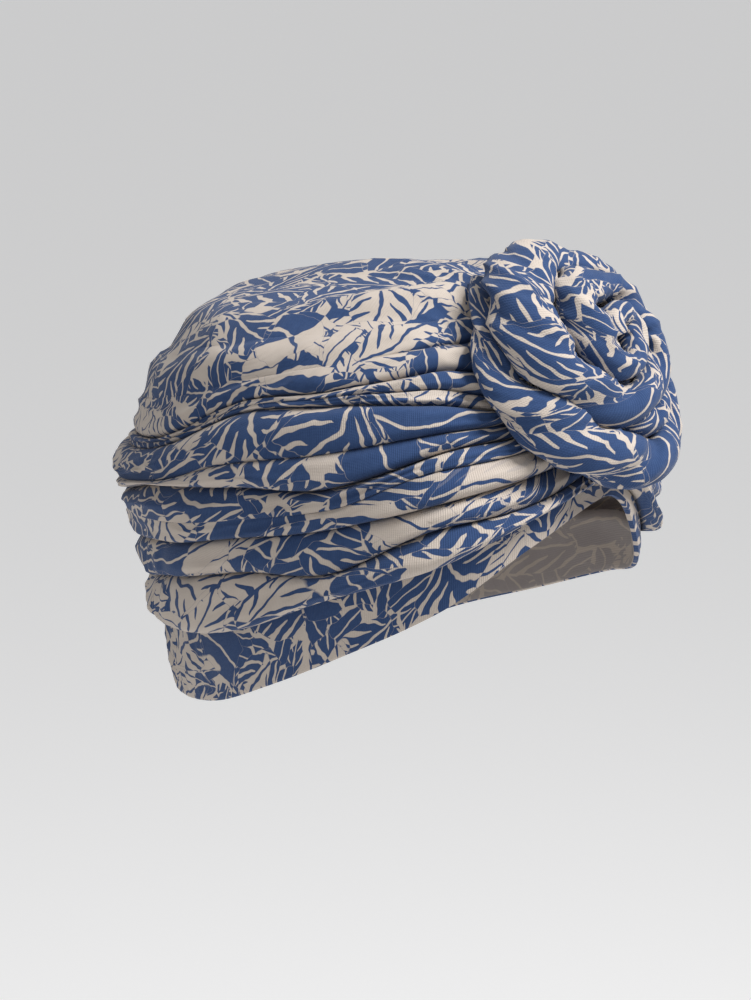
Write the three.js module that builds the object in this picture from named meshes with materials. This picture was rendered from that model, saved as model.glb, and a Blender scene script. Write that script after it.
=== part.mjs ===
// Turban hat of printed stretch jersey: a cap gathered to the centre front in deep rolls, a smooth
// hem band, and a rosette coiled from the twisted tail of the cloth.
// Millimetres, +Z up. The front faces -Y and +X is the wearer's left. The origin is the middle of
// the head's girth, where the hat grips the head.
import * as THREE from "three";

// Driving sizes
const CAP_LENGTH = 204; // forehead to back of the head, over the middle of the folds
const CAP_WIDTH = 168; // side to side, over the middle of the folds
const CAP_HEIGHT = 90; // girth plane up to the top of the crown
const FOLD_DEPTH = 9; // bottom of a deep crease to the top of a full roll
const CAP_CLOTH = 2.2; // wall of the folded cap
const HEM_CLOTH = 2; // hem band, two layers of cloth
const HEM_SET_IN = 5.2; // middle of the folds in to the face of the hem band
const ROSETTE_DIAMETER = 99;
const ROSETTE_DEPTH = 28; // back of the outer turn to the front of the inner turn
const ROSETTE_LEVEL = 58; // height of the rosette's middle above the girth plane
const ROSETTE_TILT = 25; // degrees by which the rosette faces upwards
const CLEARANCE = 0.3; // between pieces that touch

// How finely the cloth is faceted
const COLUMNS = 64;
const ROPE_SIDES = 12;
const ROPE_STEP = 0.17; // share of the rosette's radius
const LARGEST_TURN = 20; // degrees of coil in one facet

// A chart: one object for each row, with the named columns
function chart(columns, rows) {
  const names = columns.split(" ");
  return rows.map((row) => Object.fromEntries(names.map((name, i) => [name, row[i]])));
}

// Level sections of the cap, from below the hem to the crown. Level and height are shares of the cap
// height; front, back and side are shares of half the cap length and half the cap width. Fall is the
// slope by which a section drops towards the back.
const SECTIONS = chart("level height front back side fall", [
  [-1.02, -1.02, 0.863, 0.9, 0.821, 0],
  [-0.83, -0.83, 0.922, 0.93, 0.857, 0],
  [-0.67, -0.67, 0.961, 0.94, 0.893, 0],
  [-0.5, -0.5, 0.98, 0.94, 0.929, 0],
  [-0.33, -0.33, 0.99, 0.945, 0.964, 0],
  [-0.17, -0.17, 1, 0.975, 0.988, 0],
  [0, 0, 1, 1, 1, 0],
  [0.17, 0.17, 0.99, 1, 1, 0],
  [0.33, 0.33, 0.93, 0.965, 0.988, 0],
  [0.5, 0.5, 0.853, 0.89, 0.952, 0],
  [0.63, 0.63, 0.765, 0.8, 0.905, 0],
  [0.73, 0.73, 0.7, 0.735, 0.845, 0.01],
  [0.83, 0.82, 0.62, 0.67, 0.74, 0.03],
  [0.92, 0.885, 0.55, 0.585, 0.595, 0.05],
  [1.02, 0.935, 0.45, 0.46, 0.44, 0.06],
  [1.14, 0.968, 0.335, 0.28, 0.27, 0.06],
  [1.26, 0.99, 0.2, 0.12, 0.12, 0.06],
  [1.34, 1, 0.06, 0.06, 0, 0.06],
]);
const FRONT_SQUARENESS = 2.3; // 2 is an ellipse
const BACK_SQUARENESS = 2.15;

// Degrees round the head from the centre front at which the folds are charted
const AROUND = [0, 25, 45, 70, 95, 120, 150, 180];
const AROUND_NAMES = ["front", "brow", "temple", "side", "ear", "behind", "nape_side", "nape"];

// Creases from the hem up to the crown, as levels in shares of the cap height. A crease that fades
// keeps its line between its neighbours. Left is the share of the left drop that it takes. Rows is
// the number of mesh rows in the roll above the crease.
const CREASES = chart("name front brow temple side ear behind nape_side nape left rows", [
  ["band_top", 0.245, 0.16, -0.02, -0.19, -0.38, -0.49, -0.535, -0.535, 1, 3],
  ["low_roll_top", 0.3, 0.21, 0.115, -0.08, -0.165, -0.255, -0.345, -0.345, 0.8, 2],
  ["thin_roll_top", 0.365, 0.31, 0.235, 0.085, 0, -0.09, -0.155, -0.155, 0.6, 3],
  ["brow_roll_top", 0.445, 0.405, 0.335, 0.18, 0.1, 0, -0.055, -0.055, 0.4, 2],
  ["deep_crease", 0.5, 0.465, 0.44, 0.26, 0.205, 0.13, 0.045, 0.045, 0.3, 3],
  ["middle_roll_top", 0.555, 0.52, 0.495, 0.395, 0.3, 0.2, 0.1, 0.1, 0.2, 3],
  ["wide_roll_top", 0.6, 0.56, 0.62, 0.595, 0.49, 0.345, 0.19, 0.17, 0.1, 2],
  ["short_crease", 0.645, 0.61, 0.67, 0.625, 0.51, 0.365, 0.217, 0.2, 0.05, 2],
  ["upper_roll_top", 0.72, 0.695, 0.728, 0.65, 0.535, 0.383, 0.25, 0.24, 0, 3],
  ["hook_fold", 0.81, 0.805, 0.79, 0.73, 0.645, 0.52, 0.41, 0.39, 0, 3],
  ["shoulder", 0.89, 0.88, 0.88, 0.845, 0.8, 0.71, 0.62, 0.6, 0, 3],
  ["crown_dip", 1.1, 1.1, 1.08, 1.06, 1.06, 1.06, 1.04, 1.02, 0, 2],
  ["crown", 1.34, 1.34, 1.34, 1.34, 1.34, 1.34, 1.34, 1.34, 0, 0],
]);
// The wearer's left side is crossed lower over the brow, by these shares of the cap height
const LEFT_DROP = [0, 0.26, 0.15, 0.08, 0.02, 0, 0, 0];

// How deep each crease lies and how proud the roll above it stands, in shares of the fold depth
// from the middle of the folds, at four places round the head
const DEPTHS_AT = [25, 50, 80, 150];
const DEPTHS = chart("name crease_0 crease_1 crease_2 crease_3 roll_0 roll_1 roll_2 roll_3", [
  ["band_top", -0.3, -0.3, -0.3, -0.3, 0.35, 0.45, 0.42, 0.1],
  ["low_roll_top", -0.35, -0.4, -0.4, -0.45, 0.12, 0.2, 0, 0.15],
  ["thin_roll_top", -0.35, -0.4, -0.3, -0.4, 0.4, 0.35, 0.02, 0.3],
  ["brow_roll_top", -0.05, 0.1, 0, 0.3, 0.45, 0.4, 0.15, 0.35],
  ["deep_crease", -0.5, -0.55, -0.5, -0.35, 0.2, 0.3, 0.35, 0.55],
  ["middle_roll_top", -0.3, -0.25, 0, 0.45, 0.3, 0.4, 0.45, 0.8],
  ["wide_roll_top", -0.3, -0.3, -0.3, -0.1, 0.12, 0.1, 0, 0],
  ["short_crease", -0.25, -0.15, 0, 0, 0.3, 0.25, 0.15, 0.1],
  ["upper_roll_top", -0.35, -0.35, -0.35, -0.35, 0.2, 0.2, 0.15, 0.15],
  ["hook_fold", -0.25, -0.05, 0.05, 0.05, 0.15, 0.2, 0.2, 0.25],
  ["shoulder", -0.05, 0, 0.05, 0.05, 0.3, 0.35, 0.3, 0.2],
  ["crown_dip", -0.1, -0.15, -0.15, -0.05, 0, -0.05, -0.05, 0],
  ["crown", 0, 0, 0, 0, 0, 0, 0, 0],
]);
const GATHERED_SHARE = 0.45; // of the fold depth that is left under the rosette
const GATHERED_WITHIN = [6, 27]; // degrees from the centre front

// The hem's lower edge, as levels at the same places round the head
const HEM_EDGE = [0.17, 0.013, -0.238, -0.475, -0.668, -0.82, -0.895, -0.9];
const HEM_TUCK = 0.35; // share of the lowest roll that hides the top of the band

// Shares along a roll, from its crease up, of the mesh rows in it
const ROLL_ROWS = { 2: [0, 0.5], 3: [0, 0.28, 0.72] };

// Route of the rosette's rope from the tail that leaves the cap, round the outer turn and in to the
// pinched middle. Turn is in degrees, anticlockwise as seen from the front, from the wearer's right.
// Centred is the share by which the turn runs round the pinch and not round the middle of the
// rosette. Reach and breadth are shares of the rosette's radius, lift and height of its depth.
const ROPE = chart("turn centred reach lift breadth height", [
  [-70, 0, 0.87, -0.17, 0.06, 0.09],
  [-46, 0, 0.83, -0.05, 0.09, 0.12],
  [-25, 0, 0.85, 0.02, 0.105, 0.14],
  [-5, 0, 0.87, 0.13, 0.125, 0.2],
  [18, 0, 0.82, 0.32, 0.18, 0.32],
  [47, 0, 0.775, 0.37, 0.205, 0.35],
  [80, 0, 0.8, 0.37, 0.185, 0.34],
  [110, 0, 0.81, 0.35, 0.165, 0.32],
  [140, 0, 0.775, 0.33, 0.145, 0.31],
  [180, 0, 0.78, 0.33, 0.15, 0.31],
  [225, 0, 0.8, 0.33, 0.155, 0.31],
  [270, 0, 0.84, 0.34, 0.165, 0.32],
  [300, 0, 0.8, 0.38, 0.19, 0.33],
  [330, 0, 0.77, 0.46, 0.205, 0.34],
  [355, 0.1, 0.64, 0.56, 0.195, 0.34],
  [380, 0.3, 0.5, 0.61, 0.175, 0.33],
  [415, 0.6, 0.43, 0.61, 0.15, 0.32],
  [450, 0.85, 0.4, 0.63, 0.14, 0.3],
  [495, 1, 0.365, 0.64, 0.125, 0.29],
  [540, 1, 0.345, 0.64, 0.115, 0.28],
  [585, 1, 0.325, 0.65, 0.115, 0.28],
  [630, 1, 0.355, 0.65, 0.12, 0.28],
  [665, 1, 0.39, 0.66, 0.15, 0.29],
  [700, 1, 0.4, 0.69, 0.175, 0.3],
  [735, 1, 0.31, 0.71, 0.155, 0.29],
  [765, 1, 0.22, 0.72, 0.13, 0.27],
  [810, 1, 0.17, 0.72, 0.105, 0.26],
  [860, 1, 0.15, 0.71, 0.09, 0.25],
  [905, 1, 0.135, 0.71, 0.085, 0.25],
  [950, 1, 0.12, 0.71, 0.085, 0.25],
  [990, 1, 0.115, 0.7, 0.085, 0.25],
  [1035, 1, 0.08, 0.66, 0.075, 0.22],
]);
const PINCH = { across: 0.165, up: 0.19 }; // from the rosette's middle, in shares of its radius

// The second ply, which lies low in the rosette between the outer turn and the next
const INNER_STRAND = chart("turn centred reach lift breadth height", [
  [60, 0, 0.55, 0.45, 0.02, 0.08],
  [75, 0, 0.533, 0.46, 0.078, 0.23],
  [100, 0, 0.55, 0.46, 0.107, 0.28],
  [125, 0, 0.563, 0.46, 0.092, 0.27],
  [145, 0, 0.578, 0.44, 0.057, 0.2],
  [160, 0, 0.59, 0.42, 0.02, 0.08],
]);
const LOBE_TURN = 62; // degrees of twist of a ply for each rosette radius of rope
const CREASE_BETWEEN_PLIES = 0.12; // share of the rope's radius

// The back of the rosette follows the rounded front of the cap
const FRONT_CURVE_ACROSS = 1.05; // radius in shares of half the cap width
const FRONT_CURVE_UP = 0.55; // radius in shares of the cap height
const FRONT_CURVE_FROM = 0.1; // share of the rosette's radius above its middle

const HALF_TURN = 180;
const radians = THREE.MathUtils.degToRad;

// A smooth curve through values at rising stops
function curveThrough(stops, values, at, flatEnds) {
  const last = stops.length - 1;
  const place = THREE.MathUtils.clamp(at, stops[0], stops[last]);
  let i = 0;
  while (i < last - 1 && place > stops[i + 1]) i += 1;
  const slope = (k) => {
    if (flatEnds && (k === 0 || k === last)) return 0;
    const before = Math.max(k - 1, 0);
    const after = Math.min(k + 1, last);
    return (values[after] - values[before]) / (stops[after] - stops[before]);
  };
  const step = stops[i + 1] - stops[i];
  const f = (place - stops[i]) / step;
  const rise = f * f * (3 - 2 * f);
  const lead = f * (1 - f) * (1 - f) * slope(i);
  const trail = f * f * (1 - f) * slope(i + 1);
  return values[i] + (values[i + 1] - values[i]) * rise + step * (lead - trail);
}

// A point on the middle surface of the folds
function middlePoint(azimuth, level) {
  const levels = SECTIONS.map((section) => section.level);
  const share = (name) => curveThrough(levels, SECTIONS.map((section) => section[name]), level);
  const across = Math.abs(Math.sin(radians(azimuth)));
  const along = Math.cos(radians(azimuth));
  const n = along > 0 ? FRONT_SQUARENESS : BACK_SQUARENESS;
  const halfLength = (share(along > 0 ? "front" : "back") * CAP_LENGTH) / 2;
  const halfWidth = (share("side") * CAP_WIDTH) / 2;
  const reach = ((across / halfWidth) ** n + (Math.abs(along) / halfLength) ** n) ** (-1 / n);
  const x = -reach * Math.sin(radians(azimuth));
  const y = -reach * along;
  return new THREE.Vector3(x, y, share("height") * CAP_HEIGHT - share("fall") * y);
}

// The same point moved out of the middle surface by an offset
function coverPoint(azimuth, level, offset) {
  const nudge = 0.01;
  const point = middlePoint(azimuth, level);
  const round = middlePoint(azimuth - 1, level).sub(middlePoint(azimuth + 1, level));
  const rise = middlePoint(azimuth, level + nudge).sub(middlePoint(azimuth, level - nudge));
  return point.addScaledVector(round.cross(rise).normalize(), offset);
}

// Azimuths run from -180 to 180, positive on the wearer's right
function levelAround(values, left, azimuth) {
  const level = curveThrough(AROUND, values, Math.abs(azimuth), true);
  if (azimuth > 0) return level;
  return level - left * curveThrough(AROUND, LEFT_DROP, Math.abs(azimuth), true);
}

function creaseLevel(crease, azimuth) {
  return levelAround(AROUND_NAMES.map((name) => crease[name]), crease.left, azimuth);
}

function foldShare(depth, kind, azimuth) {
  const values = DEPTHS_AT.map((_, i) => depth[`${kind}_${i}`]);
  return curveThrough(DEPTHS_AT, values, Math.abs(azimuth), true);
}

// Offset from the middle surface at a share of the way up the roll above crease k
function foldOffset(k, share, azimuth) {
  const [from, to] = GATHERED_WITHIN;
  const free = THREE.MathUtils.smoothstep(Math.abs(azimuth), from, to);
  const depth = FOLD_DEPTH * THREE.MathUtils.lerp(GATHERED_SHARE, 1, free);
  const crease = (i) => {
    const tucked = CAP_CLOTH + CLEARANCE - HEM_SET_IN;
    return i === 0 ? tucked : foldShare(DEPTHS[i], "crease", azimuth) * depth;
  };
  const valley = THREE.MathUtils.lerp(crease(k), crease(k + 1), share);
  const roll = foldShare(DEPTHS[k], "roll", azimuth) * depth;
  const roundness = Math.sqrt(1 - (2 * share - 1) ** 2);
  return THREE.MathUtils.lerp(valley, roll, roundness);
}

function columnAzimuths() {
  return Array.from({ length: COLUMNS }, (_, i) => ((i / COLUMNS) * 2 - 1) * HALF_TURN);
}

// A closed mesh from points and triangles
function closedGeometry(points, triangles) {
  const geometry = new THREE.BufferGeometry();
  const numbers = points.flatMap((point) => [point.x, point.y, point.z]);
  geometry.setAttribute("position", new THREE.Float32BufferAttribute(numbers, 3));
  geometry.setIndex(triangles);
  geometry.computeVertexNormals();
  return geometry;
}

// Two triangles for each facet between loops a and b, given by their first points
function joinLoops(triangles, a, b, count) {
  for (let i = 0; i < count; i += 1) {
    const next = (i + 1) % count;
    triangles.push(a + i, b + next, a + next, a + i, b + i, b + next);
  }
}

// The folded cap: rows of points from the hem band to the crown, outside and then inside
function capGeometry() {
  const azimuths = columnAzimuths();
  const points = [];
  const side = (thickness) => {
    const firsts = [];
    for (let k = 0; k < CREASES.length - 1; k += 1) {
      for (const share of ROLL_ROWS[CREASES[k].rows]) {
        firsts.push(points.length);
        for (const azimuth of azimuths) {
          const low = creaseLevel(CREASES[k], azimuth);
          const high = creaseLevel(CREASES[k + 1], azimuth);
          const level = THREE.MathUtils.lerp(low, high, share);
          points.push(coverPoint(azimuth, level, foldOffset(k, share, azimuth) - thickness));
        }
      }
    }
    return firsts;
  };
  const top = (thickness) => points.push(new THREE.Vector3(0, 0, CAP_HEIGHT - thickness)) - 1;
  const outside = side(0);
  const outsideTop = top(0);
  const inside = side(CAP_CLOTH);
  const insideTop = top(CAP_CLOTH);
  const triangles = [];
  const loops = [...inside].reverse().concat(outside);
  for (let i = 0; i < loops.length - 1; i += 1) joinLoops(triangles, loops[i], loops[i + 1], COLUMNS);
  for (let i = 0; i < COLUMNS; i += 1) {
    const next = (i + 1) % COLUMNS;
    triangles.push(outside.at(-1) + i, outsideTop, outside.at(-1) + next);
    triangles.push(inside.at(-1) + next, insideTop, inside.at(-1) + i);
  }
  return closedGeometry(points, triangles);
}

// The hem band: a flat loop of doubled cloth with a rounded lower fold
function hemGeometry() {
  const points = [];
  const face = -HEM_SET_IN;
  const back = face - HEM_CLOTH;
  const bandLevel = (azimuth, share) => {
    const edge = levelAround(HEM_EDGE, 1, azimuth);
    const bandTop = creaseLevel(CREASES[0], azimuth);
    if (share <= 1) return THREE.MathUtils.lerp(edge, bandTop, share);
    const rollTop = creaseLevel(CREASES[1], azimuth);
    return THREE.MathUtils.lerp(bandTop, rollTop, (share - 1) * HEM_TUCK);
  };
  const fold = 0.04; // share of the band taken by its rounded lower fold
  const loops = [
    [0, (face + back) / 2],
    [fold, face],
    [0.5, face],
    [1, face],
    [2, face],
    [2, back],
    [1, back],
    [0.5, back],
    [fold, back],
  ];
  const firsts = loops.map(([share, offset]) => {
    const first = points.length;
    for (const azimuth of columnAzimuths()) {
      points.push(coverPoint(azimuth, bandLevel(azimuth, share), offset));
    }
    return first;
  });
  const triangles = [];
  firsts.forEach((first, i) => joinLoops(triangles, first, firsts[(i + 1) % firsts.length], COLUMNS));
  return closedGeometry(points, triangles);
}

// A rope along a chart of turns. Its rings stand along the rosette's axis, so that a change of the
// rosette's diameter or depth stretches the whole coil evenly and its turns stay clear.
function ropeGeometry(route) {
  const turns = route.map((row) => row.turn);
  const share = (name, turn) => curveThrough(turns, route.map((row) => row[name]), turn);
  const radius = ROSETTE_DIAMETER / 2;
  const middle = (turn) => {
    const reach = share("reach", turn);
    const centred = share("centred", turn);
    const x = centred * PINCH.across - reach * Math.cos(radians(turn));
    const y = centred * PINCH.up - reach * Math.sin(radians(turn));
    return new THREE.Vector3(x, y, share("lift", turn));
  };
  const place = (point) => {
    const x = point.x * radius;
    const above = Math.max(0, point.y - FRONT_CURVE_FROM) * radius;
    const fallAcross = x ** 2 / (FRONT_CURVE_ACROSS * CAP_WIDTH);
    const fallUp = above ** 2 / (2 * FRONT_CURVE_UP * CAP_HEIGHT);
    return new THREE.Vector3(x, point.y * radius, point.z * ROSETTE_DEPTH - fallAcross - fallUp);
  };
  const points = [];
  const firsts = [];
  let turn = turns[0];
  let twist = 0;
  const ring = () => {
    const centre = middle(turn);
    const ahead = middle(turn + 1).sub(middle(turn - 1)).setZ(0).normalize();
    const out = new THREE.Vector3(ahead.y, -ahead.x, 0);
    firsts.push(points.length);
    for (let i = 0; i < ROPE_SIDES; i += 1) {
      const around = (i / ROPE_SIDES) * 2 * Math.PI;
      const ply = 1 - CREASE_BETWEEN_PLIES * Math.cos(around - radians(twist)) ** 4;
      const breadth = share("breadth", turn) * ply * Math.cos(around);
      const height = share("height", turn) * ply * Math.sin(around);
      points.push(centre.clone().addScaledVector(out, breadth).setZ(centre.z + height));
    }
  };
  const end = turns.at(-1);
  while (turn < end) {
    ring();
    const reach = share("reach", turn);
    const step = Math.min(THREE.MathUtils.radToDeg(ROPE_STEP / reach), LARGEST_TURN);
    turn += step;
    twist += LOBE_TURN * radians(step) * reach;
  }
  turn = end;
  ring();
  const triangles = [];
  for (let i = 0; i < firsts.length - 1; i += 1) {
    joinLoops(triangles, firsts[i], firsts[i + 1], ROPE_SIDES);
  }
  const startTip = points.push(middle(turns[0])) - 1;
  const endTip = points.push(middle(end)) - 1;
  for (let i = 0; i < ROPE_SIDES; i += 1) {
    const next = (i + 1) % ROPE_SIDES;
    triangles.push(firsts[0] + i, firsts[0] + next, startTip);
    triangles.push(firsts.at(-1) + next, firsts.at(-1) + i, endTip);
  }
  return closedGeometry(points.map(place), triangles);
}

// The triangles of a geometry that face up or down its z axis, each as three corners
function facetsFacing(geometry, facing) {
  const position = geometry.getAttribute("position");
  const index = geometry.getIndex();
  const found = [];
  for (let t = 0; t < index.count; t += 3) {
    const corner = (k) => new THREE.Vector3().fromBufferAttribute(position, index.getX(t + k));
    const facet = new THREE.Triangle(corner(0), corner(1), corner(2));
    if (facet.getNormal(new THREE.Vector3()).z * facing > 0) found.push(facet);
  }
  return found;
}

// Height of the nearest facet on the line along z through a point, or nothing
function heightOnLine(facets, point, facing) {
  let found = null;
  for (const { a, b, c } of facets) {
    if (point.x < Math.min(a.x, b.x, c.x) || point.x > Math.max(a.x, b.x, c.x)) continue;
    if (point.y < Math.min(a.y, b.y, c.y) || point.y > Math.max(a.y, b.y, c.y)) continue;
    const area = (b.x - a.x) * (c.y - a.y) - (c.x - a.x) * (b.y - a.y);
    const towardsB = ((point.x - a.x) * (c.y - a.y) - (c.x - a.x) * (point.y - a.y)) / area;
    const towardsC = ((b.x - a.x) * (point.y - a.y) - (point.x - a.x) * (b.y - a.y)) / area;
    if (towardsB < 0 || towardsC < 0 || towardsB + towardsC > 1) continue;
    const z = a.z + towardsB * (b.z - a.z) + towardsC * (c.z - a.z);
    if (found === null || facing * z > facing * found) found = z;
  }
  return found;
}

// How far the rosette's pieces have to move along z to rest on the cap with the clearance, measured
// at the corners and along the edges of the facets. All geometries are in the rosette's own frame.
function seatShift(cap, ropes) {
  const capFacets = facetsFacing(cap, 1);
  let nearest = Infinity;
  const measure = (facets, surface, facing) => {
    for (const { a, b, c } of facets) {
      for (const [from, to] of [[a, b], [b, c], [c, a]]) {
        for (const share of [0, 0.25, 0.5, 0.75]) {
          const point = from.clone().lerp(to, share);
          const other = heightOnLine(surface, point, facing);
          if (other !== null) nearest = Math.min(nearest, facing * (point.z - other));
        }
      }
    }
  };
  for (const rope of ropes) {
    const ropeFacets = facetsFacing(rope, -1);
    measure(ropeFacets, capFacets, 1);
    measure(capFacets, ropeFacets, -1);
  }
  return CLEARANCE - nearest;
}

const CLOTH_BLUE = 0x3a5c9c;
const CLOTH_CREAM = 0xd8cfc6;
function jersey(colour) {
  return new THREE.MeshStandardMaterial({ color: colour, roughness: 0.9, metalness: 0 });
}

function piece(name, geometry, colour) {
  const mesh = new THREE.Mesh(geometry, jersey(colour));
  mesh.name = name;
  return mesh;
}

const hat = new THREE.Group();
const cap = piece("cap", capGeometry(), CLOTH_BLUE);
hat.add(cap, piece("hem_band", hemGeometry(), CLOTH_CREAM));

// The rosette's own frame: x to the wearer's left, y up its face and z out along its axis
const rosette = new THREE.Group();
rosette.rotation.x = radians(90 - ROSETTE_TILT);
const rosetteRope = piece("rosette_rope", ropeGeometry(ROPE), CLOTH_BLUE);
const innerStrand = piece("rosette_inner_strand", ropeGeometry(INNER_STRAND), CLOTH_CREAM);
rosette.add(rosetteRope, innerStrand);
const middleLevel = ROSETTE_LEVEL / CAP_HEIGHT;
rosette.position.copy(middlePoint(0, middleLevel)).setZ(ROSETTE_LEVEL);
rosette.updateMatrixWorld(true);
const capFromRosette = cap.geometry.clone().applyMatrix4(rosette.matrixWorld.clone().invert());
const shift = seatShift(capFromRosette, [rosetteRope.geometry, innerStrand.geometry]);
rosette.translateZ(shift);
hat.add(rosette);

export default hat;
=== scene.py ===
# %% [markdown]
# A turban hat of printed stretch jersey. The packed model is the frame: it gives the size, the place
# and the main folds of each piece. The cells below make the cloth itself over that frame, with fine
# wrinkles, a printed pattern and a knitted surface. All lengths in the tables are shares of the named
# sizes, and the named sizes are in millimetres, as a milliner would write them down.

# %% Load the frame
import math

import bpy
import numpy as np
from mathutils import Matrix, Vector


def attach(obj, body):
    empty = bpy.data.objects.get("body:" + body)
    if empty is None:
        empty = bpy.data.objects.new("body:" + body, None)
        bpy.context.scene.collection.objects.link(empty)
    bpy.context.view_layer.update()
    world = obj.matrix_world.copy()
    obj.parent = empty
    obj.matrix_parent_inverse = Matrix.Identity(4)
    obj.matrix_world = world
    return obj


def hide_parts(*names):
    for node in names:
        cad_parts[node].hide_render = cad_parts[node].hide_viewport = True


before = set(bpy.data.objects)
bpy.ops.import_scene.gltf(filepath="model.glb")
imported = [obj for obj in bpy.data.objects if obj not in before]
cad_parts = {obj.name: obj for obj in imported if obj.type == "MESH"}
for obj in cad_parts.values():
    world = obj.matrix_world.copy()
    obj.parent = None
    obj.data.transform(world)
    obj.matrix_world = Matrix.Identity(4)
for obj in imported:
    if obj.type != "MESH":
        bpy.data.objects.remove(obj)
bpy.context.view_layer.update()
print("nodes:", sorted(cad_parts))

# %% [markdown]
# The camera comes first, because every later choice is judged through it. It stands where the photo
# was taken: in front of the hat and well round to the wearer's right, a little above the brow, with a
# long lens, so that the near and far sides of the hat keep nearly the same scale.

# %% Camera
MM = 0.001
CAMERA_AZIMUTH = -55.0
CAMERA_ELEVATION = 15.0
CAMERA_DISTANCE = 1150.0
CAMERA_AIM = np.array([0.0, 6.0, -3.0])
CAMERA_LENS = 108.47
SENSOR = 36.0


def direction(azimuth, elevation):
    """Unit vector from the hat towards a viewer at that azimuth and elevation, in degrees."""
    a, e = math.radians(azimuth), math.radians(elevation)
    return np.array([math.sin(a) * math.cos(e), -math.cos(a) * math.cos(e), math.sin(e)])


def aimed(thing, place, aim):
    """Puts a camera or lamp at a place, in millimetres, and turns it towards its aim."""
    thing.location = Vector(place * MM)
    thing.rotation_euler = Vector((aim - place) * MM).to_track_quat("-Z", "Y").to_euler()
    bpy.context.scene.collection.objects.link(thing)


lens = bpy.data.cameras.new("view_from_the_front_right")
lens.lens = CAMERA_LENS
lens.sensor_width = SENSOR
camera = bpy.data.objects.new("view_from_the_front_right", lens)
camera_place = CAMERA_AIM + CAMERA_DISTANCE * direction(CAMERA_AZIMUTH, CAMERA_ELEVATION)
aimed(camera, camera_place, CAMERA_AIM)
bpy.context.scene.camera = camera
print("camera at", camera_place.round(1), "mm")

# %% [markdown]
# The sizes of the hat come next. They are the sizes of the frame, so the cloth made here lies where
# the frame's solids lie. The frame could be measured instead, but its faceted rolls only show where
# the folds are, while the same named sizes give every fold as a smooth curve.

# %% Sizes
CAP_LENGTH = 204.0
CAP_WIDTH = 168.0
CAP_HEIGHT = 90.0
FOLD_DEPTH = 9.0
CAP_CLOTH = 2.2
HEM_CLOTH = 2.0
HEM_SET_IN = 5.2
ROSETTE_DIAMETER = 99.0
ROSETTE_DEPTH = 28.0
ROSETTE_LEVEL = 58.0
ROSETTE_TILT = 25.0
CLEARANCE = 0.3
print("cap:", CAP_LENGTH, "long,", CAP_WIDTH, "wide,", CAP_HEIGHT, "mm high above the girth")

# %% [markdown]
# Two small tools follow. The first turns a table into named columns. The second draws a smooth curve
# through a column, as a maker bends a spline through pins on a board, so that a few rows are enough.

# %% Charts and curves
def chart(columns, rows):
    """One array for each named column of a table."""
    return dict(zip(columns.split(), np.array(rows, float).T))


def curve_through(stops, values, at, flat_ends=False):
    """A smooth curve through values at rising stops, for an array of places."""
    stops, values = np.asarray(stops, float), np.asarray(values, float)
    place = np.clip(at, stops[0], stops[-1])
    i = np.clip(np.searchsorted(stops, place, side="left") - 1, 0, len(stops) - 2)
    slopes = np.empty(len(stops))
    slopes[1:-1] = (values[2:] - values[:-2]) / (stops[2:] - stops[:-2])
    slopes[0] = (values[1] - values[0]) / (stops[1] - stops[0])
    slopes[-1] = (values[-1] - values[-2]) / (stops[-1] - stops[-2])
    if flat_ends:
        slopes[[0, -1]] = 0
    step = stops[i + 1] - stops[i]
    f = (place - stops[i]) / step
    rise = f * f * (3 - 2 * f)
    lead = f * (1 - f) ** 2 * slopes[i]
    trail = f * f * (1 - f) * slopes[i + 1]
    return values[i] + (values[i + 1] - values[i]) * rise + step * (lead - trail)


print("half way from 0 to 1:", float(curve_through([0, 1], [0, 1], np.array(0.5))))

# %% [markdown]
# The cap is shaped like half an egg shell. Its level sections are the easiest thing to take from a
# view of the hat: how far the front, the back and the sides stand out at each height. Between an
# ellipse and a box there is a whole family of round outlines, and squareness picks one of them.

# %% Middle surface of the folds
SECTIONS = chart("level height front back side fall", [
    [-1.02, -1.02, 0.863, 0.9, 0.821, 0],
    [-0.83, -0.83, 0.922, 0.93, 0.857, 0],
    [-0.67, -0.67, 0.961, 0.94, 0.893, 0],
    [-0.5, -0.5, 0.98, 0.94, 0.929, 0],
    [-0.33, -0.33, 0.99, 0.945, 0.964, 0],
    [-0.17, -0.17, 1, 0.975, 0.988, 0],
    [0, 0, 1, 1, 1, 0],
    [0.17, 0.17, 0.99, 1, 1, 0],
    [0.33, 0.33, 0.93, 0.965, 0.988, 0],
    [0.5, 0.5, 0.853, 0.89, 0.952, 0],
    [0.63, 0.63, 0.765, 0.8, 0.905, 0],
    [0.73, 0.73, 0.7, 0.735, 0.845, 0.01],
    [0.83, 0.82, 0.62, 0.67, 0.74, 0.03],
    [0.92, 0.885, 0.55, 0.585, 0.595, 0.05],
    [1.02, 0.935, 0.45, 0.46, 0.44, 0.06],
    [1.14, 0.968, 0.335, 0.28, 0.27, 0.06],
    [1.26, 0.99, 0.2, 0.12, 0.12, 0.06],
    [1.34, 1, 0.06, 0.06, 0.0, 0.06],
])
FRONT_SQUARENESS = 2.3
BACK_SQUARENESS = 2.15


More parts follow.
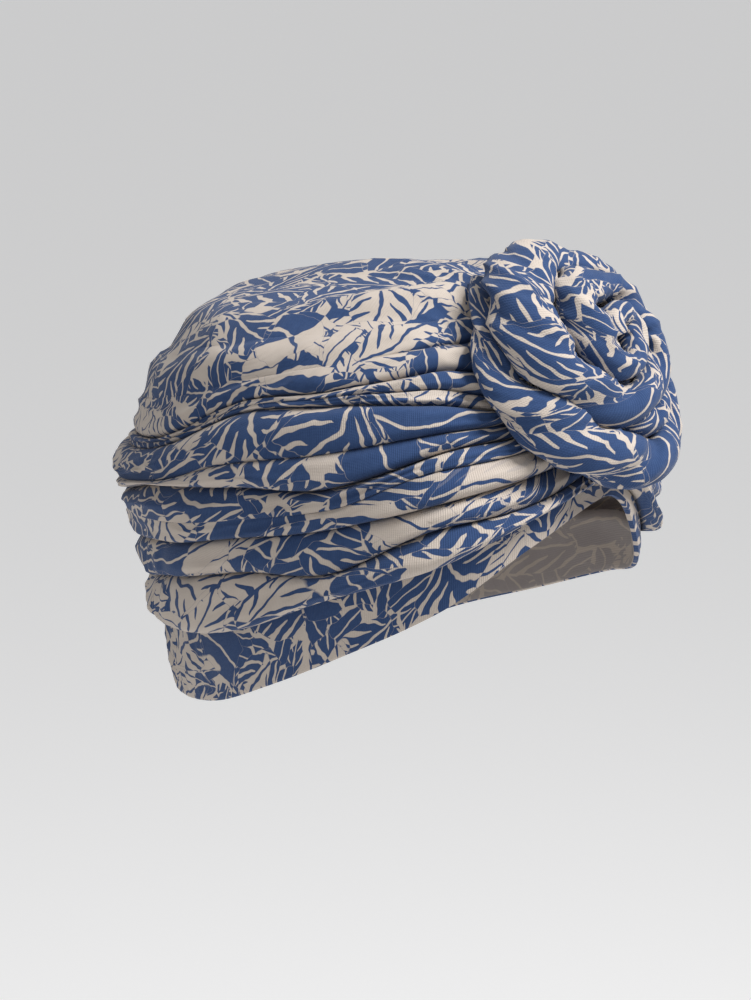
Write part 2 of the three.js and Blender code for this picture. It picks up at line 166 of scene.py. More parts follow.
def middle(azimuth, level):
    """Points on the middle surface of the folds. Azimuth is in degrees from the centre front,
    positive on the wearer's right."""
    azimuth, level = np.broadcast_arrays(np.asarray(azimuth, float), np.asarray(level, float))
    share = {name: curve_through(SECTIONS["level"], SECTIONS[name], level)
             for name in ("height", "front", "back", "side", "fall")}
    sine, cosine = np.sin(np.radians(azimuth)), np.cos(np.radians(azimuth))
    before = cosine > 0
    n = np.where(before, FRONT_SQUARENESS, BACK_SQUARENESS)
    half_length = np.where(before, share["front"], share["back"]) * CAP_LENGTH / 2
    half_width = np.maximum(share["side"], 1e-4) * CAP_WIDTH / 2
    reach = ((np.abs(sine) / half_width) ** n + (np.abs(cosine) / half_length) ** n) ** (-1 / n)
    x, y = -reach * sine, -reach * cosine
    return np.stack([x, y, share["height"] * CAP_HEIGHT - share["fall"] * y], -1)


def outward(azimuth, level):
    """Unit normals of the middle surface."""
    nudge = 0.01
    round_it = middle(azimuth - 1, level) - middle(azimuth + 1, level)
    rise = middle(azimuth, level + nudge) - middle(azimuth, level - nudge)
    normal = np.cross(round_it, rise)
    return normal / np.maximum(np.linalg.norm(normal, axis=-1, keepdims=True), 1e-9)


girth = middle(np.linspace(-180, 180, 361), 0.0)
print("girth over the folds:", round(np.linalg.norm(np.diff(girth, axis=0), axis=1).sum()), "mm")

# %% [markdown]
# Cloth is never as smooth as a chart. Small folds run along the rolls and grow towards the gathers.
# They could be painted as bump, but a fold that stands a millimetre high also changes the outline
# and catches the light, so they are real shape here. The tool for it is a lattice of random heights
# with a smooth surface through them. It is seeded, so that the hat is the same each time.

# %% Random wrinkles
def wrinkles(along, across, cells_along, seed, cells_across=64):
    """Smooth random heights from -1 to 1. Along runs from 0 to 1 and closes on itself, and across
    counts cells."""
    heights = np.random.default_rng(seed).uniform(-1, 1, (cells_across, cells_along))
    a, c = np.broadcast_arrays(along * cells_along, across)
    a0, c0 = np.floor(a).astype(int), np.floor(c).astype(int)
    fa, fc = a - a0, c - c0
    fa, fc = fa * fa * (3 - 2 * fa), fc * fc * (3 - 2 * fc)

    def pick(i, j):
        return heights[(c0 + i) % cells_across, (a0 + j) % cells_along]

    low = pick(0, 0) * (1 - fa) + pick(0, 1) * fa
    high = pick(1, 0) * (1 - fa) + pick(1, 1) * fa
    return low * (1 - fc) + high * fc


def creased(heights, sharpness=1.6):
    """Round hills with sharp valleys between them, as in gathered cloth."""
    return 1 - 2 * np.abs(heights) ** (1 / sharpness)


sample = wrinkles(np.linspace(0, 1, 200), 0.5, 12, seed=1)
print("random heights from", round(sample.min(), 2), "to", round(sample.max(), 2))

# %% [markdown]
# The folds are charted as creases: for each crease, its level at eight places round the hat, from
# the centre front to the nape. Cloth between two creases swells into a roll. This is also how the
# real hat is made: the maker gathers the front of it on a thread, and the cloth falls into rolls that
# start together under the rosette and open out towards the back.

# %% Creases and rolls
AROUND = [0, 25, 45, 70, 95, 120, 150, 180]
CREASE_LEVELS = np.array([
    [0.245, 0.16, -0.02, -0.19, -0.38, -0.49, -0.535, -0.535],
    [0.3, 0.21, 0.115, -0.08, -0.165, -0.255, -0.345, -0.345],
    [0.365, 0.31, 0.235, 0.085, 0, -0.09, -0.155, -0.155],
    [0.445, 0.405, 0.335, 0.18, 0.1, 0, -0.055, -0.055],
    [0.5, 0.465, 0.44, 0.26, 0.205, 0.13, 0.045, 0.045],
    [0.555, 0.52, 0.495, 0.395, 0.3, 0.2, 0.1, 0.1],
    [0.6, 0.56, 0.62, 0.595, 0.49, 0.345, 0.19, 0.17],
    [0.645, 0.61, 0.67, 0.625, 0.51, 0.365, 0.217, 0.2],
    [0.72, 0.695, 0.728, 0.65, 0.535, 0.383, 0.25, 0.24],
    [0.81, 0.805, 0.79, 0.73, 0.645, 0.52, 0.41, 0.39],
    [0.89, 0.88, 0.88, 0.845, 0.8, 0.71, 0.62, 0.6],
    [1.1, 1.1, 1.08, 1.06, 1.06, 1.06, 1.04, 1.02],
    [1.34, 1.34, 1.34, 1.34, 1.34, 1.34, 1.34, 1.34],
])
# The wearer's left side is crossed lower over the brow, and each crease takes its share of that
LEFT_DROP = [0, 0.26, 0.15, 0.08, 0.02, 0, 0, 0]
CREASE_LEFT = [1, 0.8, 0.6, 0.4, 0.3, 0.2, 0.1, 0.05, 0, 0, 0, 0, 0]
# Depths of creases and heights of rolls in shares of the fold depth, at four places round the hat
DEPTHS_AT = [25, 50, 80, 150]
CREASE_DEPTHS = np.array([
    [-0.3, -0.3, -0.3, -0.3],
    [-0.35, -0.4, -0.4, -0.45],
    [-0.35, -0.4, -0.3, -0.4],
    [-0.05, 0.1, 0, 0.3],
    [-0.5, -0.55, -0.5, -0.35],
    [-0.3, -0.25, 0, 0.45],
    [-0.3, -0.3, -0.3, -0.1],
    [-0.25, -0.15, 0, 0],
    [-0.35, -0.35, -0.35, -0.35],
    [-0.25, -0.05, 0.05, 0.05],
    [-0.05, 0, 0.05, 0.05],
    [-0.1, -0.15, -0.15, -0.05],
    [0, 0, 0, 0],
])
ROLL_HEIGHTS = np.array([
    [0.35, 0.45, 0.42, 0.1],
    [0.12, 0.2, 0, 0.15],
    [0.4, 0.35, 0.02, 0.3],
    [0.45, 0.4, 0.15, 0.35],
    [0.2, 0.3, 0.35, 0.55],
    [0.3, 0.4, 0.45, 0.8],
    [0.12, 0.1, 0, 0],
    [0.3, 0.25, 0.15, 0.1],
    [0.2, 0.2, 0.15, 0.15],
    [0.15, 0.2, 0.2, 0.25],
    [0.3, 0.35, 0.3, 0.2],
    [0, -0.05, -0.05, 0],
])
ROLLS = len(ROLL_HEIGHTS)
print("creases:", len(CREASE_LEVELS), "rolls:", ROLLS)

# %% [markdown]
# A roll isn't a half pipe. It hangs, so its belly sits low, and its height changes along its way. Over
# the crown the cloth is drawn tighter, and there the rolls flatten into soft waves. Near the centre
# front all folds are shallow, because the gathering thread holds them down.

# %% Shape of a roll
GATHERED_SHARE = 0.45
GATHERED_WITHIN = (6, 27)
FIRST_CROWN_ROLL = 9
SOFT_FROM = (45, 80)
SAG = 0.72
PULLED_IN = 1.25
ROLL_VARIES = 0.75


def turned_of(azimuth):
    """Share of the way round the hat from the nape."""
    return (azimuth + 180) / 360


def smooth_step(x, low, high):
    """0 below low, 1 above high, and smooth between."""
    t = np.clip((x - low) / (high - low), 0, 1)
    return t * t * (3 - 2 * t)


def level_around(values, left, azimuth):
    """A level charted round the hat, lowered on the wearer's left."""
    level = curve_through(AROUND, values, np.abs(azimuth), flat_ends=True)
    drop = curve_through(AROUND, LEFT_DROP, np.abs(azimuth), flat_ends=True)
    return np.where(azimuth > 0, level, level - left * drop)


def fold_offset(k, share, azimuth):
    """How far the roll above crease k stands out of the middle surface."""
    free = smooth_step(np.abs(azimuth), *GATHERED_WITHIN)
    depth = FOLD_DEPTH * (GATHERED_SHARE + (1 - GATHERED_SHARE) * free)

    def crease(i):
        if i == 0:
            return np.full_like(depth, CAP_CLOTH + CLEARANCE - HEM_SET_IN)
        charted = curve_through(DEPTHS_AT, CREASE_DEPTHS[i], np.abs(azimuth), flat_ends=True)
        return np.where(charted < 0, charted * PULLED_IN, charted) * depth

    valley = crease(k) * (1 - share) + crease(k + 1) * share
    roll = curve_through(DEPTHS_AT, ROLL_HEIGHTS[k], np.abs(azimuth), flat_ends=True) * depth
    sagged = share ** SAG
    tube = np.sqrt(np.maximum(1 - (2 * sagged - 1) ** 2, 0))
    hill = np.sin(np.pi * share) ** 2
    if k == FIRST_CROWN_ROLL:
        flat = smooth_step(np.abs(azimuth), *SOFT_FROM)
    else:
        flat = float(k > FIRST_CROWN_ROLL)
    roundness = tube * (1 - flat) + hill * flat
    swell = 1 + ROLL_VARIES * wrinkles(turned_of(azimuth), np.full_like(azimuth, k + 0.5), 7, seed=51)
    return valley + (roll * swell - valley) * roundness


print("a free roll stands out by up to", round(ROLL_HEIGHTS.max() * FOLD_DEPTH, 1), "mm")

# %% [markdown]
# The charted creases wander a little too, but only where the cloth is free: at the gathers the thread
# holds them. Creases that lie close together wander together, or they would cross.

# %% Wandering creases
CREASE_WANDERS = 0.04
WANDER_WITH = [0, 1, 2, 3, 4, 5, 6, 6, 6]
FREE_FROM = (25, 60)


def crease_level(i, azimuth):
    """Level of crease i, with a little wander where the cloth isn't gathered."""
    level = level_around(CREASE_LEVELS[i], CREASE_LEFT[i], azimuth)
    if 0 < i < FIRST_CROWN_ROLL:
        free = smooth_step(np.abs(azimuth), *FREE_FROM)
        row = np.full_like(azimuth, WANDER_WITH[i])
        level = level + free * CREASE_WANDERS * wrinkles(turned_of(azimuth), row, 13, seed=52)
    return level


whole_turn = np.linspace(-180, 180, 361)
crease_lines = np.array([crease_level(i, whole_turn) for i in range(ROLLS + 1)])
narrowest = np.diff(crease_lines, axis=0).min(axis=1) * CAP_HEIGHT
print("narrowest place of each roll:", narrowest.round(1).tolist(), "mm")

# %% [markdown]
# Every piece of cloth here is a stack of loops, so one helper joins loops into a mesh. It also writes
# the cloth map: where each corner of each face lies on the flat cloth, in metres. The print and the
# knitting follow that map, so they bend with the folds and vanish into the creases as on real cloth.
# The map is kept per corner and not per point, because at the back seam the cloth starts anew.

# %% Loops into cloth
def cloth_mesh(name, loops, flat, closed_along=False, poles=()):
    """Joins loops, an array of rows by columns by 3 in millimetres. Flat gives the cloth map as rows
    by columns + 1 by 2. Poles are the points that close the first and the last loop."""
    rows, columns = loops.shape[:2]
    points = loops.reshape(-1, 3)
    a = np.arange(rows if closed_along else rows - 1)[:, None]
    i = np.arange(columns)[None, :]
    b, j = (a + 1) % rows, (i + 1) % columns
    quads = np.stack(np.broadcast_arrays(a * columns + i, a * columns + j, b * columns + j,
                                         b * columns + i), -1).reshape(-1, 4)
    uv = np.stack([flat[a, i], flat[a, i + 1], flat[b, i + 1], flat[b, i]], 2).reshape(-1, 2)
    faces = [tuple(q) for q in quads.tolist()]
    uvs = [uv]
    for end, pole in poles:
        points = np.vstack([points, pole[None]])
        tip = len(points) - 1
        row = 0 if end == "first" else rows - 1
        for k in range(columns):
            ring = (row * columns + k, row * columns + (k + 1) % columns)
            centre = (flat[row, k] + flat[row, k + 1]) / 2
            if end == "first":
                faces.append((ring[1], ring[0], tip))
                uvs.append(np.array([flat[row, k + 1], flat[row, k], centre]))
            else:
                faces.append((ring[0], ring[1], tip))
                uvs.append(np.array([flat[row, k], flat[row, k + 1], centre]))
    mesh = bpy.data.meshes.new(name)
    mesh.from_pydata((points * MM).tolist(), [], faces)
    layer = mesh.uv_layers.new(name="cloth")
    layer.data.foreach_set("uv", (np.concatenate(uvs) * MM).astype(np.float32).ravel())
    mesh.shade_smooth()
    piece = bpy.data.objects.new(name, mesh)
    bpy.context.scene.collection.objects.link(piece)
    area = sum(face.area for face in mesh.polygons)
    print(name, "faces", len(mesh.polygons), "area", round(area, 4), "square metres")
    return piece


# %% [markdown]
# The fine folds of the cap are of four kinds. Long ones lie along the rolls, small ones break them up,
# gathers crowd together towards the rosette, and upright pleats draw in the nape. Over the crown two
# soft ridges run from front to back. No fold may be deeper than the cloth's wall leaves room for.

# %% Fine folds of the cap
COLUMNS = 330
FINE_FOLD = 2.1
GATHER_FOLD = 1.5
CROWN_FOLD = 1.8
DEEPEST_FOLD = -1.6
NAPE_FROM = (108, 138)
FOLDS_IN_ROLL = 1.7
GATHERS_IN_ROLL = 4.3
FOLD_SLANT = 60
GATHERS_WITHIN = (20, 80)
SIDE_BELOW = (0.72, 0.95)
CROWN_ABOVE = (0.68, 0.95)
NAPE_PLEAT = 1.9
PULL_FOLD = 0.7
RIDGE_STEP = 62
SMALL_RIDGE_STEP = 27

azimuths = np.linspace(-180, 180, COLUMNS, endpoint=False)
turned = turned_of(azimuths)


def cap_wrinkle(k, share, level):
    """Height of the fine folds on the roll above crease k, in millimetres."""
    slant = np.abs(azimuths) / FOLD_SLANT
    sway = 0.9 * wrinkles(turned, (k + share) * 0.7, 9, seed=11)
    across = (k + share) * FOLDS_IN_ROLL + slant + sway
    small = creased(wrinkles(turned, across * 1.5, 15, seed=12))
    long = creased(wrinkles(turned, across, 9, seed=13))
    front = 1 - smooth_step(np.abs(azimuths), *GATHERS_WITHIN)
    gathers = creased(wrinkles(turned, (k + share) * GATHERS_IN_ROLL, 12, seed=14)) * front
    edge = np.sin(np.pi * np.clip(share, 0, 1)) ** 0.6
    nape = smooth_step(np.abs(azimuths), *NAPE_FROM) * (1 - smooth_step(level, -0.45, 0.1))
    pleats = creased(wrinkles(turned, level * 3 + 5, 92, seed=15)) * nape
    low = 1 - smooth_step(level, *SIDE_BELOW)
    fine = FINE_FOLD * (0.4 * small + 0.6 * long) + GATHER_FOLD * 0.6 * gathers
    return fine * edge * low + NAPE_PLEAT * pleats * edge


def crown_wrinkle(points, level):
    """Soft ridges that run from the front of the crown to its back and fan out behind the rosette."""
    x, y = points[..., 0], points[..., 1]
    spread = 0.45 + 0.55 * smooth_step(y, -70, 40)
    lane = x / spread
    ridges = 0.55 * np.cos(2 * np.pi * (lane - 4) / RIDGE_STEP)
    ridges = ridges + 0.25 * np.cos(2 * np.pi * (lane + 9) / SMALL_RIDGE_STEP)
    sway = wrinkles((y + 130) / 300, lane / 13 + 20, 7, seed=21)
    fan = 1 - smooth_step(y, -30, 30)
    pulls = creased(wrinkles((y + 130) / 300, lane / 7 + 30, 4, seed=22)) * fan
    high = smooth_step(level, *CROWN_ABOVE)
    return high * (CROWN_FOLD * (ridges + 0.45 * sway) + PULL_FOLD * pulls)


print("columns round the hat:", COLUMNS, "one every", round(360 / COLUMNS, 2), "degrees")

# %% [markdown]
# The cap is made from the hem up: each roll in turn, then over the crown. The outside gets many rows
# for its wrinkles, and the inside only a few, because it is smooth and dark. The rows stand closer at
# a crease than on a roll, as the cloth turns sharply there.

# %% Rows of the cap
ROWS_IN_ROLL = 15
ROWS_IN_CROWN = 20
CROWN_ROLLS = 2
INSIDE_ROWS_IN_ROLL = 4


def cap_rows(thickness, rows_in_roll, wrinkled):
    """Rows of points up one face of the cap, and the roll that each row belongs to."""
    rows, notes = [], []
    for k in range(ROLLS):
        count = rows_in_roll
        if wrinkled and k >= ROLLS - CROWN_ROLLS:
            count = ROWS_IN_CROWN
        for n in range(count):
            share = (1 - math.cos(math.pi * n / count)) / 2
            low = crease_level(k, azimuths)
            high = crease_level(k + 1, azimuths)
            level = low + (high - low) * share
            base = middle(azimuths, level)
            offset = fold_offset(k, share, azimuths) - thickness
            if wrinkled:
                fine = cap_wrinkle(k, share, level) + crown_wrinkle(base, level)
                offset = offset + np.maximum(fine, DEEPEST_FOLD)
            rows.append(base + outward(azimuths, level) * offset[:, None])
            notes.append(k)
    return np.array(rows), notes


outside, rolls_of_rows = cap_rows(0.0, ROWS_IN_ROLL, wrinkled=True)
inside, _ = cap_rows(CAP_CLOTH, INSIDE_ROWS_IN_ROLL, wrinkled=False)
print("rows outside:", len(outside), "rows inside:", len(inside))

# %% [markdown]
# Now the cloth map of the cap. How far a point lies along the cloth is the length of the cloth up to
# it, folds and all, and some more for what is hidden in each crease. On the sides the map is a strip
# round the hat. On the crown it opens like a plate, because there the real cloth runs from front to
# back with no seam.

# %% Folded cap
HIDDEN_IN_CREASE = 14.0
STRIP_RADIUS = 92.0
PLATE_FROM_ROLL = 8
PLATE_ACROSS = 1.6
PLATE_ALONG = 0.85
PLATE_PLACE = 700.0

crown_top = outside[-1].mean(0)
inner_top = np.array([0, 0, inside[-1][:, 2].mean()])
loops = np.concatenate([inside[::-1], outside])
steps = np.linalg.norm(np.diff(loops, axis=0), axis=2)
run = np.concatenate([np.zeros((1, COLUMNS)), np.cumsum(steps, axis=0)])
run = np.concatenate([run, run[:, :1]], axis=1)
across = np.append(azimuths, 180.0)
down_from_top = run[-1] - run
first_outside = len(inside)
angle = np.radians(across)
flat = np.zeros((len(loops), COLUMNS + 1, 2))
flat[..., 0] = angle[None, :] * STRIP_RADIUS
flat[..., 1] = (run + run.mean(axis=1, keepdims=True)) / 2
for row, k in enumerate(rolls_of_rows):
    flat[first_outside + row, :, 1] += k * HIDDEN_IN_CREASE
    if k >= PLATE_FROM_ROLL:
        reach = down_from_top[first_outside + row]
        flat[first_outside + row, :, 0] = -reach * np.sin(angle) * PLATE_ACROSS
        flat[first_outside + row, :, 1] = -reach * np.cos(angle) * PLATE_ALONG + PLATE_PLACE
cap = cloth_mesh("turban_cap", loops, flat, poles=[("first", inner_top), ("last", crown_top)])

# %% [markdown]
# The hem band is the lower edge of the same jersey, turned up once and pressed, so it is smooth and
# double. Its lower edge is a soft fold and its upper edge hides behind the lowest roll. It is a loop
# with a rounded profile. Slight ripples along the edge tell that it is cloth and not card.

# %% Hem band
HEM_EDGE = [0.17, 0.013, -0.238, -0.475, -0.668, -0.82, -0.895, -0.9]
HEM_TUCK = 0.35
HEM_ROWS = 22
HEM_FOLD_ROWS = 6
HEM_FOLD_SHARE = 0.04
HEM_RIPPLE = 0.55
HEM_MAP_PLACE = -300.0


def band_level(share):
    """Level on the band: 0 is its lower fold, 1 the crease above it, 2 its tucked upper edge."""
    edge = level_around(HEM_EDGE, 1, azimuths)
    top = level_around(CREASE_LEVELS[0], CREASE_LEFT[0], azimuths)
    above = level_around(CREASE_LEVELS[1], CREASE_LEFT[1], azimuths)
    if share <= 1:
        return edge + (top - edge) * share
    return top + (above - top) * (share - 1) * HEM_TUCK


def band_profile():
    """Pairs of share and offset round the band's section, from the tuck down and round to the back."""
    front, back = -HEM_SET_IN, -HEM_SET_IN - HEM_CLOTH
    half = (front + back) / 2
    face = [(share, front) for share in np.linspace(HEM_FOLD_SHARE, 1, HEM_ROWS)]
    turn = [(HEM_FOLD_SHARE * (1 - math.cos(a)), half + math.sin(a) * HEM_CLOTH / 2)
            for a in np.linspace(-math.pi / 2, math.pi / 2, HEM_FOLD_ROWS + 2)[1:-1]]
    rear = [(share, back) for share in np.linspace(1, HEM_FOLD_SHARE, HEM_ROWS // 2)]
    return turn + face + [(2, front), (2, back)] + rear


def band_ripple(share, level):
    """Shallow pulls in the band, most of them upright, with gathers at the nape."""
    shown = math.sin(math.pi * min(share, 1)) ** 0.5 if share < 1 else 0
    upright = wrinkles(turned, level * 4 + 9, 23, seed=31)
    slanted = wrinkles((turned + share * 0.02) % 1, np.full(COLUMNS, share * 2.0 + 3), 31, seed=32)
    nape = smooth_step(np.abs(azimuths), *NAPE_FROM)
    pleats = creased(wrinkles(turned, np.full(COLUMNS, share * 1.2 + 7), 110, seed=33)) * nape
    return HEM_RIPPLE * shown * (0.7 * upright + 0.6 * slanted + 2.5 * pleats)


band_loops, band_flat = [], []
for share, offset in band_profile():
    level = band_level(share)
    out = offset + band_ripple(share, level)
    band_loops.append(middle(azimuths, level) + outward(azimuths, level) * out[:, None])
    rise = (level - band_level(0)) * CAP_HEIGHT
    if offset <= -HEM_SET_IN - HEM_CLOTH:
        rise = -rise
    band_flat.append(np.stack([angle * STRIP_RADIUS, np.append(rise, rise[0]) + HEM_MAP_PLACE], -1))
hem_band = cloth_mesh("turban_hem_band", np.array(band_loops), np.array(band_flat), closed_along=True)

# %% [markdown]
# The rosette is the loose tail of the cloth. It is twisted like a skein of wool until it coils on
# itself, then wound flat and stitched down. So it is one long rope: each row of the chart is a place
# on its way round, and the rope's thickness swells where the twist is slack. Two plies run round each
# other in it, and the valley between them crosses the rope at a slant every few centimetres.

# %% Route of the rosette's rope
ROPE = chart("turn centred reach lift breadth height", [
    [-70, 0, 0.87, -0.17, 0.06, 0.09],
    [-46, 0, 0.83, -0.05, 0.09, 0.12],
    [-25, 0, 0.85, 0.02, 0.105, 0.14],
    [-5, 0, 0.87, 0.13, 0.125, 0.2],
    [18, 0, 0.82, 0.32, 0.18, 0.32],
    [47, 0, 0.775, 0.37, 0.205, 0.35],
    [80, 0, 0.8, 0.37, 0.185, 0.34],
    [110, 0, 0.81, 0.35, 0.165, 0.32],
    [140, 0, 0.775, 0.33, 0.145, 0.31],
    [180, 0, 0.78, 0.33, 0.15, 0.31],
    [225, 0, 0.8, 0.33, 0.155, 0.31],
    [270, 0, 0.84, 0.34, 0.165, 0.32],
    [300, 0, 0.8, 0.38, 0.19, 0.33],
    [330, 0, 0.77, 0.46, 0.19, 0.34],
    [355, 0.1, 0.655, 0.54, 0.18, 0.33],
    [380, 0.3, 0.53, 0.57, 0.17, 0.32],
    [415, 0.6, 0.47, 0.59, 0.155, 0.31],
    [450, 0.85, 0.42, 0.62, 0.14, 0.3],
    [495, 1, 0.48, 0.6, 0.13, 0.29],
    [540, 1, 0.56, 0.58, 0.145, 0.29],
    [585, 1, 0.53, 0.58, 0.14, 0.29],
    [630, 1, 0.46, 0.6, 0.14, 0.29],
    [665, 1, 0.37, 0.65, 0.14, 0.29],
    [700, 1, 0.27, 0.72, 0.14, 0.3],
    [735, 1, 0.215, 0.73, 0.135, 0.29],
    [765, 1, 0.2, 0.72, 0.12, 0.27],
    [810, 1, 0.2, 0.69, 0.11, 0.26],
    [860, 1, 0.22, 0.66, 0.11, 0.26],
    [905, 1, 0.25, 0.65, 0.125, 0.26],
    [950, 1, 0.225, 0.66, 0.125, 0.26],
    [990, 1, 0.15, 0.67, 0.115, 0.26],
    [1035, 1, 0.05, 0.69, 0.1, 0.23],
])
INNER_STRAND = chart("turn centred reach lift breadth height", [
    [60, 0, 0.55, 0.45, 0.02, 0.08],
    [75, 0, 0.533, 0.46, 0.078, 0.23],
    [100, 0, 0.55, 0.46, 0.107, 0.28],
    [125, 0, 0.563, 0.46, 0.092, 0.27],
    [145, 0, 0.578, 0.44, 0.057, 0.2],
    [160, 0, 0.59, 0.42, 0.02, 0.08],
])
print("the rope goes round", round(np.ptp(ROPE["turn"]) / 360, 2), "times")

# %% [markdown]
# Three helpers lay the route out: one gives its points, one drapes them over the rounded front of the
# cap, and one steps along it evenly, so that the rings of the rope are nowhere crowded.

# %% Laying the rope on the cap
PINCH = (-0.1, 0.06)
FRONT_CURVE_ACROSS = 1.05
FRONT_CURVE_UP = 0.55
FRONT_CURVE_FROM = 0.1
RING_SPACING = 0.024


def rope_line(route, turn):
    """Points on the middle of the rope, in shares of the rosette's radius and depth."""
    reach = curve_through(route["turn"], route["reach"], turn)
    centred = curve_through(route["turn"], route["centred"], turn)
    angle = np.radians(turn)
    return np.stack([centred * PINCH[0] - reach * np.cos(angle),
                     centred * PINCH[1] - reach * np.sin(angle),
                     curve_through(route["turn"], route["lift"], turn)], -1)


def draped(points):
    """Shares of the rosette's radius and depth as millimetres in its own frame. The back of the
    rosette follows the rounded front of the cap."""
    radius = ROSETTE_DIAMETER / 2
    x, y = points[..., 0] * radius, points[..., 1] * radius
    above = np.maximum(0, points[..., 1] - FRONT_CURVE_FROM) * radius
    fall = x ** 2 / (FRONT_CURVE_ACROSS * CAP_WIDTH) + above ** 2 / (2 * FRONT_CURVE_UP * CAP_HEIGHT)
    return np.stack([x, y, points[..., 2] * ROSETTE_DEPTH - fall], -1)


def rope_turns(route):
    """Places along the rope, in degrees of turn, at even steps of its own length."""
    dense = np.linspace(route["turn"][0], route["turn"][-1], 4000)
    line = rope_line(route, dense)[:, :2]
    length = np.append(0, np.cumsum(np.linalg.norm(np.diff(line, axis=0), axis=1)))
    count = int(length[-1] / RING_SPACING)
    return np.interp(np.linspace(0, length[-1], count), length, dense), length[-1]


print("rings of the rope:", len(rope_turns(ROPE)[0]))

# %% [markdown]
# The rope is made as rings along that route. Each ring starts as an oval. The plies cut two valleys
# into it, which turn as the rope is twisted, and fine folds follow the twist. Near the pinched middle
# short pleats run across the rope instead, where the stitches draw the cloth together.

# %% Rings of the rope
ROPE_SIDES = 56
PRESSED_TOGETHER = 1.07
TWIST_FOR_A_RADIUS = 290.0
PLY_VALLEY = 0.24
ROPE_FOLD = 0.085
PINCHED_FROM = (380, 640)
PINCH_PLEATS = 8.0
PINCH_FOLD = 0.15
CLOTH_ROUND_ROPE = 11.0
CLOTH_TWIST = 5.0
PLY_SHARPNESS = 5


def rope_rings(route, seed):
    """Rings of points round the rope in millimetres, with plies and wrinkles, and the cloth map."""
    turns, length = rope_turns(route)
    along = np.linspace(0, length, len(turns))[:, None]
    around = np.linspace(0, 2 * np.pi, ROPE_SIDES, endpoint=False)[None, :]
    twist = np.radians(TWIST_FOR_A_RADIUS) * along
    centre = rope_line(route, turns)
    ahead = rope_line(route, turns + 1)[:, :2] - rope_line(route, turns - 1)[:, :2]
    ahead /= np.linalg.norm(ahead, axis=1, keepdims=True)
    out = np.stack([ahead[:, 1], -ahead[:, 0]], -1)
    ply = 1 - PLY_VALLEY * np.abs(np.cos(around - twist)) ** PLY_SHARPNESS
    place = ((around - twist * 1.25) / (2 * np.pi)) % 1
    folds = creased(wrinkles(place, along * 1.5, 11, seed)) * 0.6
    folds = folds + creased(wrinkles(place, along * 3.1 + 9, 6, seed + 1)) * 0.6
    inner = smooth_step(turns, *PINCHED_FROM)[:, None]
    pleats = creased(wrinkles(place, along * PINCH_PLEATS, 3, seed + 2)) * inner
    ply = ply + ROPE_FOLD * folds + PINCH_FOLD * pleats
    ends = np.minimum(1, np.minimum(along, length - along) / 0.12) ** 0.5
    ply = 1 + (ply - 1) * ends
    breadth = curve_through(route["turn"], route["breadth"], turns)[:, None] * PRESSED_TOGETHER
    rise = curve_through(route["turn"], route["height"], turns)[:, None] * PRESSED_TOGETHER ** 0.5
    reach = breadth * ply * np.cos(around)
    points = np.stack([centre[:, :1] + out[:, :1] * reach, centre[:, 1:2] + out[:, 1:] * reach,
                       centre[:, 2:] + rise * ply * np.sin(around)], -1)
    radius = ROSETTE_DIAMETER / 2
    round_it = np.linspace(0, 2 * np.pi, ROPE_SIDES + 1)[None, :]
    cloth_round = round_it * CLOTH_ROUND_ROPE - twist * CLOTH_TWIST
    flat = np.stack(np.broadcast_arrays(along * radius, cloth_round), -1)
    return draped(points), flat


print("points round each ring:", ROPE_SIDES)

# %% [markdown]
# The rosette has a frame of its own, tilted up like a brooch pinned over the brow. The packed rope
# is already seated on the folds, so its place is measured from the frame and not guessed: the most
# forward point of its coil, along the rosette's axis, is where the new rope has to come too.

# %% Rosette on the cap
ROPE_MAP_PLACE = 400.0
tilt = math.radians(90 - ROSETTE_TILT)
ROSETTE_AXES = np.array([[1, 0, 0], [0, math.cos(tilt), math.sin(tilt)],
                         [0, -math.sin(tilt), math.cos(tilt)]])
rosette_middle = middle(0.0, ROSETTE_LEVEL / CAP_HEIGHT)
rosette_middle[2] = ROSETTE_LEVEL


def seat_of_rosette():
    """How far along its axis the packed rosette stands from the middle surface of the folds."""
    packed = np.array([v.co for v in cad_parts["rosette_rope"].data.vertices]) / MM
    turns = rope_turns(ROPE)[0]
    crest = rope_line(ROPE, turns)
    crest[:, 2] += curve_through(ROPE["turn"], ROPE["height"], turns)
    front = draped(crest)[:, 2].max()
    return ((packed - rosette_middle) @ ROSETTE_AXES[2]).max() - front


seat = seat_of_rosette()
print("rosette stands", round(seat, 2), "mm along its axis")


def rosette_piece(name, route, seed, seam):
    """One rope of the rosette, put in its place on the cap."""
    rings, flat = rope_rings(route, seed)
    flat = flat + np.array([seam, ROPE_MAP_PLACE])
    placed = rings @ ROSETTE_AXES + rosette_middle + seat * ROSETTE_AXES[2]
    tips = [("first", placed[0].mean(0)), ("last", placed[-1].mean(0))]
    return cloth_mesh(name, placed, flat, poles=tips)


rope = rosette_piece("turban_rosette_rope", ROPE, seed=41, seam=0.0)
strand = rosette_piece("turban_inner_strand", INNER_STRAND, seed=47, seam=900.0)

# %% [markdown]
# Now the print. A block print has only two colours with crisp edges: ink or no ink. That makes it a
# matter of true and false, which shader nodes can work out anywhere on the cloth with no picture.
# Leaves are scattered by a cell pattern: each cell holds one leaf, turned and bent by the cell's own
# random colour. The helper below writes the sums of that as one readable line each.

